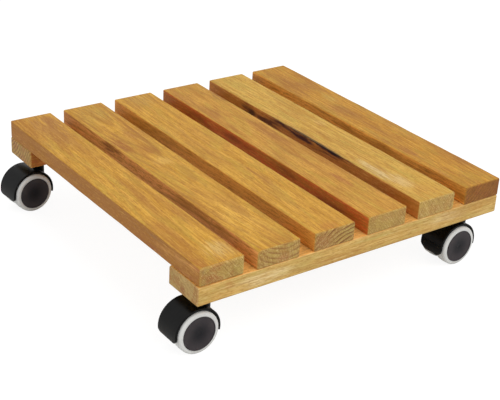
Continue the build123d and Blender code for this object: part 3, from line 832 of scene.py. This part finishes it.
# %% The four inner slats
BOARDS.update({
    "slat_2": {
        "seed": 2.0, "pith": (5, 27), "lean": (0.06, 0.02), "ring": 3.9, "late_across": 0.75,
        "late_along": 0.55, "slant": -2.6,
        "sides": [(LEFT, "#ECA25C", 0.9), (RIGHT, "#A86A2C", 0.5)], "end_late": "#80552A", "saw": 15.0,
        "patches": [
            ((-12, 58, 8), (12, 30, 10), "#98581F", 1.0), ((2, 40, 8), (14, 20, 8), "#A9702C", 0.8),
            ((8, 72, 8), (14, 34, 8), "#AC7430", 0.8), ((2, 14, 8), (16, 13, 8), "#DDB25C", 0.5),
            ((-19, 62, 4), (5, 26, 9), "#74401E", 0.9), ((0, 128, 8), (26, 34, 10), "#AA8C40", 0.6),
            ((-19, -60, 2), (4, 45, 8), "#A87038", 0.5), ((-4, -60, 8), (4, 40, 6), "#AC7630", 0.5),
            ((0, -100, 8), (24, 60, 8), "#E6B44E", 0.7),
        ],
        "end_patches": [
            ((4, -150, -4), (13, 9, 5), "#AE7A48", 0.7), ((10, -150, 5), (9, 9, 3), "#A8924A", 0.5),
        ],
    },
    "slat_3": {
        "seed": 3.0, "pith": (30, -50), "ring": 3.6, "late_across": 1.0, "late_along": 0.3, "broad": 0.4,
        "slant": 1.8, "sides": [(LEFT, "#E09642", 0.9), (RIGHT, "#A86C2E", 0.5)], "end_late": "#74461E",
        "saw": -50.0,
        "patches": [
            ((2, -45, 8), (2.2, 45, 4), "#9A6426", 0.9), ((4, -60, 8), (10, 26, 6), "#B07C30", 0.6),
            ((-2, -145, 8), (14, 12, 8), "#B87030", 0.6), ((-12, 10, 8), (9, 70, 6), "#C89A3C", 0.5),
            ((0, 135, 8), (24, 26, 8), "#B08E48", 0.6),
        ],
        "end_patches": [
            ((-12, -150, 0), (18, 9, 11), "#A46A40", 0.5), ((14, -150, 2), (12, 9, 8), "#AA9650", 0.6),
        ],
    },
    "slat_4": {
        "seed": 4.0, "pith": (-6, -20), "lean": (0.035, 0.01), "ring": 2.7, "light": "#CE983A",
        "mid": "#B98530", "late_across": 0.25, "late_along": 0.4, "broad": 0.75, "slant": 2.4,
        "sides": [(LEFT, "#CC5E28", 0.95), (RIGHT, "#A4662C", 0.5)],
        "patches": [
            ((5, -88, 8), (5, 26, 6), "#A4622C", 0.85), ((9, 18, 8), (11, 52, 8), "#A0682A", 0.95),
            ((-9, 82, 8), (7, 26, 7), "#A26A30", 0.9), ((16, 110, 8), (5, 22, 6), "#8E5626", 0.95),
            ((-6, -110, 8), (4, 36, 6), "#A8702C", 0.6), ((-14, -20, 8), (5, 60, 6), "#D0A048", 0.5),
            ((-19, -118, 6), (5, 26, 3), "#D47034", 0.6), ((-19, -10, -4), (4, 40, 3), "#B46A2C", 0.5),
        ],
        "stains": [
            ((-19.5, -100, -3), (3, 56, 7), "#7C2410", 0.55), ((-19.5, 24, 3), (3, 40, 6), "#6E2210", 0.55),
            ((-19.5, -40, 2), (3, 30, 7), "#701E0C", 0.45), ((-19.5, 90, 0), (3, 40, 8), "#7A3014", 0.45),
        ],
        "end_patches": [((0, -150, 3), (16, 9, 5), "#A87A44", 0.5)],
    },
    "slat_5": {
        "seed": 5.0, "pith": (30, -20), "ring": 2.4, "late_across": 0.2, "late_along": 0.25, "broad": 0.35,
        "slant": -1.0, "pale": "#E2BA64", "light": "#D4A94A", "mid": "#C2973A", "khaki": "#BB9B40",
        "khaki_share": 0.8, "sides": [(LEFT, "#C47634", 0.95), (RIGHT, "#AA7034", 0.5)],
        "end": "#AA8A48", "end_light": "#B89850",
        "knots": [((-20, 77, 0), (5, 11, 7), 9.0)],
        "patches": [
            ((-11, -92, 8), (10, 44, 9), "#DCC48C", 0.85), ((-6, -112, 8), (12, 26, 8), "#DCBE84", 0.6),
            ((-16, 0, 8), (5, 95, 6), "#A87830", 0.6), ((-19.5, -20, -5), (4, 60, 5), "#94482A", 0.6),
            ((10, 14, 8), (8, 12, 6), "#D8B060", 0.6), ((-19.5, -110, 0), (3, 26, 8), "#B4602A", 0.6),
            ((0, -135, 8), (18, 18, 8), "#CC9840", 0.6),
        ],
        "stains": [
            ((-19.5, -6, 6), (3, 92, 9), "#381620", 0.95), ((-19.5, -34, 8), (2.6, 70, 5), "#241018", 1.0),
            ((-19.5, 52, 0), (3, 34, 11), "#4E2416", 0.85), ((-19.5, 84, 2), (3, 16, 9), "#4A2216", 0.7),
            ((-14, -97, 8), (0.9, 10, 3), "#5E3A1C", 0.9), ((-17, -108, 8), (0.9, 8, 3), "#5E3A1C", 0.9),
        ],
        "end_patches": [
            ((16, -150, -1), (2, 9, 8), "#8A6A40", 0.8), ((10, -150, 5), (6, 9, 4), "#9E8450", 0.5),
        ],
    },
})
print("inner slats:", len(BOARDS) - 2)

# %% The two bearers
BOARDS.update({
    "front_bearer": {
        "seed": 7.0, "pith": (40, 60), "ring": 3.6, "lean": (0.02, 0.03), "late_across": 0.3,
        "late_along": 0.3, "slant": 1.0, "pale": "#E2C68C", "light": "#CFAA60", "mid": "#BE964C",
        "khaki": "#BCA058", "khaki_share": 0.8, "dark": "#AC8040", "late": "#9A6E34",
        "end": "#B08E50", "end_light": "#BE9E60", "end_red": "#A8703C", "end_late": "#8A6234", "blotch": 0.7,
        "saw": 30.0, "sides": [((0, 1, 0), "#B4702C", 0.6), (UP, "#EDAA54", 0.85)],
        "patches": [
            ((19, 92, 2), (6, 34, 8), "#DCC48C", 0.8), ((19, -90, 0), (6, 44, 8), "#E0C892", 0.8),
            ((19, -20, -3), (6, 60, 3), "#AC7A38", 0.6), ((19, -122, 3), (6, 8, 5), "#A86C34", 0.6),
            ((19, -128, -4), (6, 30, 4), "#D8AC60", 0.7), ((19, 126, 3), (6, 16, 5), "#B8883C", 0.7),
            ((19, 20, 4), (6, 50, 3), "#B4A058", 0.6), ((19, 134, -3), (6, 12, 4), "#D0AC68", 0.6),
        ],
        "end_patches": [
            ((0, -149, -3), (6, 9, 9), "#9C6238", 0.8), ((-12, -149, 2), (7, 9, 8), "#B8A060", 0.5),
        ],
    },
    "rear_bearer": {
        "seed": 8.0, "pith": (-60, 55), "ring": 3.1, "lean": (0.02, 0.03), "late_across": 1.0,
        "late_along": 0.3, "broad": 0.6, "slant": 1.0, "mid": "#B9863A", "end": "#AC8844",
        "end_light": "#BE9C54", "end_red": "#B07040", "end_late": "#7A5230", "blotch": 0.6, "saw": 35.0,
        "sides": [((0, -1, 0), "#A05426", 0.9), (UP, "#C08240", 0.8)],
        # painted light and shade on the inner face near the left end: a painted shadow under the slat at the
        # top, and a lit orange band below
        "patches": [
            ((19, -134, -5), (5, 14, 5), "#CC7C3C", 0.9), ((19, -120, 4), (5, 30, 4), "#7E3C1C", 0.8),
        ],
    },
})

for n, own in BOARDS.items():
    low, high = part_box(n)
    along = "X" if n.endswith("bearer") else "Y"
    finish = oiled_hardwood(n + "_oiled_hardwood", (low + high) / 2, along, {**COMMON, **own})
    coat(finish, boards.get(n, nodes[n]))
print("boards finished:", len(BOARDS))

# %% [markdown]
# ## Moulded parts
# The hoods, hubs and levers are black glass-filled nylon, whose mould was spark-eroded to
# a fine satin texture, so it never shines like a mirror. The caps are a charcoal
# moulding, finer and flatter, and the tyres a light grey rubbery plastic that leaves no
# marks on a floor. A plastic varies little in colour: what counts is a broken highlight
# and a little dust in the texture. So each one mixes two near tints by noise and carries a
# fine bump.

# %% Moulded plastic
TEXTURE_GRAIN, DUST_SIZE = 0.9, 14.0       # mm; the real spark texture is a third of this grain
TEXTURE_DEPTH = 0.06 * MM


def moulded(name, tint, dust, roughness, shine, relief, dust_share, low_dust=None, middle=None):
    """Spark-textured moulding. The eye sees one deep colour, a soft broken highlight and
    a thin greyer film of dust, thicker below a height in mm if one is given. The middle
    of a round piece can be painted darker: a painted shade for the dim reflection of a dished face."""
    material, tree = new_material(name)
    place = add(tree, "ShaderNodeTexCoord").outputs["Object"]
    space = add(tree, "ShaderNodeMapping", Vector=place, Scale=IN_MM)
    film = stretched_noise(tree, space, (DUST_SIZE,) * 3, 4.0, 0.65, 5.0)
    share = add(
        tree, "ShaderNodeMapRange", SMOOTH,
        Value=film, From_Min=0.4, From_Max=0.75, To_Max=dust_share,
    )
    if low_dust:
        height = add(tree, "ShaderNodeSeparateXYZ", Vector=space).outputs["Z"]
        low = add(
            tree, "ShaderNodeMapRange", SMOOTH,
            Value=height, From_Min=low_dust, From_Max=0.0, To_Max=2.0 * dust_share,
        )
        share = add(tree, "ShaderNodeMath", {"use_clamp": True}, in0=share, in1=low)
    colour = add(tree, "ShaderNodeMix", RGBA, in0=share, in6=linear(tint), in7=linear(dust)).outputs[2]
    # painted shade: the middle of the face is darker, standing for the dim reflection of the dish
    if middle:
        radius = add(tree, "ShaderNodeAttribute", {"attribute_name": "radius_share"}).outputs["Fac"]
        share = add(tree, "ShaderNodeMapRange", SMOOTH, Value=radius, From_Min=0.95, From_Max=0.1)
        colour = add(tree, "ShaderNodeMix", RGBA, in0=share, in6=colour, in7=linear(middle)).outputs[2]
    grain = stretched_noise(tree, space, (TEXTURE_GRAIN,) * 3, 2.0, 0.6, 9.0)
    bump = add(tree, "ShaderNodeBump", Strength=relief, Distance=TEXTURE_DEPTH, Height=grain)
    rough = add(
        tree, "ShaderNodeMapRange", Value=film, From_Min=0.3, From_Max=0.7,
        To_Min=roughness - 0.05, To_Max=roughness + 0.08,
    )
    shader = add(
        tree, "ShaderNodeBsdfPrincipled", Base_Color=colour, Roughness=rough, IOR=1.5,
        Normal=bump, Specular_IOR_Level=shine,
    )
    add(tree, "ShaderNodeOutputMaterial", Surface=shader)
    return material


black_nylon = moulded("black_satin_nylon", "#040404", "#161514", 0.32, 0.14, 0.25, 0.3)
# the cap's darker middle is painted shade, not a colour of the moulding
charcoal = moulded("charcoal_matt_moulding", "#363134", "#4A4544", 0.42, 0.15, 0.2, 0.4, middle="#18171B")
grey_rubber = moulded("light_grey_tyre_rubber", "#D0D0CE", "#B8B6B2", 0.62, 0.3, 0.3, 0.35, low_dust=5.0)

for n in nodes:
    if n.endswith(("_hood", "_lever", "_socket")) or "_hub_" in n:
        coat(black_nylon, nodes[n])
coat(charcoal, *caps.values())
coat(grey_rubber, *tyres.values())
print("mouldings:", black_nylon.name, charcoal.name, grey_rubber.name)

# %% [markdown]
# ## Steel
# Stems and axles are plain turned steel, the clips sprung steel, and the screws are
# yellow zinc plated. Turning leaves fine rings round a pin, too fine to see one by one,
# so they only roughen the highlight. The plating is dull in patches.

# %% Bright and plated steel
STAIN_SIZE, TURNING, TURNING_DEPTH = 2.2, (40, 40, 0.35), 0.03 * MM     # the first two in mm


def steel(name, tint, stain, roughness, stain_share):
    """Metal with a mottled film: a clear reflection, tinted, with duller stained patches."""
    material, tree = new_material(name)
    place = add(tree, "ShaderNodeTexCoord").outputs["Object"]
    space = add(tree, "ShaderNodeMapping", Vector=place, Scale=IN_MM)
    film = stretched_noise(tree, space, (STAIN_SIZE,) * 3, 3.0, 0.6, 1.0)
    share = add(tree, "ShaderNodeMapRange", Value=film, From_Min=0.45, From_Max=0.7, To_Max=stain_share)
    colour = add(tree, "ShaderNodeMix", RGBA, in0=share, in6=linear(tint), in7=linear(stain)).outputs[2]
    rough = add(
        tree, "ShaderNodeMapRange", Value=film, From_Min=0.3, From_Max=0.7,
        To_Min=roughness, To_Max=roughness + 0.2,
    )
    turned = stretched_noise(tree, space, TURNING, 1.0, 0.5, 2.0)
    bump = add(tree, "ShaderNodeBump", Strength=0.2, Distance=TURNING_DEPTH, Height=turned)
    shader = add(
        tree, "ShaderNodeBsdfPrincipled", Base_Color=colour, Roughness=rough, Metallic=1.0,
        Normal=bump,
    )
    add(tree, "ShaderNodeOutputMaterial", Surface=shader)
    return material


bright_steel = steel("turned_bright_steel", "#B9B8B4", "#7C7A76", 0.28, 0.4)
plated_steel = steel("yellow_zinc_plated_steel", "#CDB678", "#8C7B52", 0.32, 0.6)
for n in nodes:
    if n.endswith("_screws"):
        coat(plated_steel, nodes[n])
    elif n.endswith(("_stem", "_axle", "_clips")):
        coat(bright_steel, nodes[n])
print("steels:", bright_steel.name, plated_steel.name)

# %% [markdown]
# ## Studio
# The floor is one large plane of pale matt card. It has to run into the white behind it
# without a line, so the camera sees a fifth of the card's own light with a steady glow
# added, which makes the open floor white and leaves the object's soft shadow, but paler.

# %% Floor
def pale_floor(name, half_width):
    """Square of floor under the object. Its finish, matt and paler only for the camera, is put on after."""
    corners = np.array([(-1, -1, 0), (1, -1, 0), (1, 1, 0), (-1, 1, 0)]) * half_width
    mesh = bpy.data.meshes.new(name)
    mesh.from_pydata(corners.tolist(), [], [(0, 1, 2, 3)])
    mesh.update()
    floor = bpy.data.objects.new(name, mesh)
    bpy.context.scene.collection.objects.link(floor)
    return floor


FLOOR_HALF, FLOOR_GLOW = 12.0, 0.9
floor = pale_floor("studio_floor", FLOOR_HALF)
card, tree = new_material("pale_matt_card")
matt = add(tree, "ShaderNodeBsdfDiffuse", Color=linear("#ECECEA"))
faint = add(tree, "ShaderNodeBsdfDiffuse", Color=linear("#747473"))
glow = add(tree, "ShaderNodeEmission", Color=(1, 1, 1, 1), Strength=FLOOR_GLOW)
both = add(tree, "ShaderNodeAddShader", in0=faint, in1=glow)
path = add(tree, "ShaderNodeLightPath")
seen = add(tree, "ShaderNodeMixShader", in0=path.outputs["Is Camera Ray"], in1=matt, in2=both)
add(tree, "ShaderNodeOutputMaterial", Surface=seen)
coat(card, floor)
print("floor half width", FLOOR_HALF, "m")

# %% [markdown]
# ### Air and lamp
# A photographer would use a white tent and one big soft box. A white world stands for the
# tent, full white where the camera sees it, straight or mirrored, and a little dimmer as
# a light. The box is a wide lamp at the front right, which gives the boards' tops the
# most light, their near ends less and their left sides least.

# %% World and lamp
WORLD_LEVEL = 0.82
KEY_LEVEL, KEY_SIZE, KEY_PLACE = 24.0, 1.6, (0.35, -1.4, 2.0)     # watts, metres

world = bpy.data.worlds.new("studio_white")
world.use_nodes = True
world.node_tree.nodes.clear()
tree = world.node_tree
path = add(tree, "ShaderNodeLightPath")
direct = add(
    tree, "ShaderNodeMath", GREATER,
    in0=path.outputs["Is Camera Ray"], in1=path.outputs["Is Transmission Ray"],
)
direct = add(tree, "ShaderNodeMath", GREATER, in0=direct, in1=path.outputs["Is Glossy Ray"])
level = add(tree, "ShaderNodeMapRange", Value=direct, To_Min=WORLD_LEVEL, To_Max=1.0)
air = add(tree, "ShaderNodeBackground", Color=(1, 1, 1, 1), Strength=level)
add(tree, "ShaderNodeOutputWorld", Surface=air)
bpy.context.scene.world = world


def soft_lamp(name, place, target, size, power):
    """Square area lamp at a place, facing a target, both in metres."""
    data = bpy.data.lights.new(name, "AREA")
    data.size, data.energy = size, power
    lamp = bpy.data.objects.new(name, data)
    way = Vector(target) - Vector(place)
    lamp.matrix_world = Matrix.Translation(place) @ way.to_track_quat("-Z", "Y").to_matrix().to_4x4()
    bpy.context.scene.collection.objects.link(lamp)
    return lamp


middle = (cad_low + cad_high) / 2
key = soft_lamp("key", middle + Vector(KEY_PLACE), middle, KEY_SIZE, KEY_LEVEL)
print("key lamp", round((key.location - middle).length, 2), "m away")

bpy.context.scene.view_settings.view_transform = "Standard"

# %% [markdown]
# ## The CAD box
# The box of the CAD model is printed, in millimetres.

# %% Sizes and finish
print("CAD box mm", [round(v / MM, 2) for v in (*cad_low, *cad_high)])
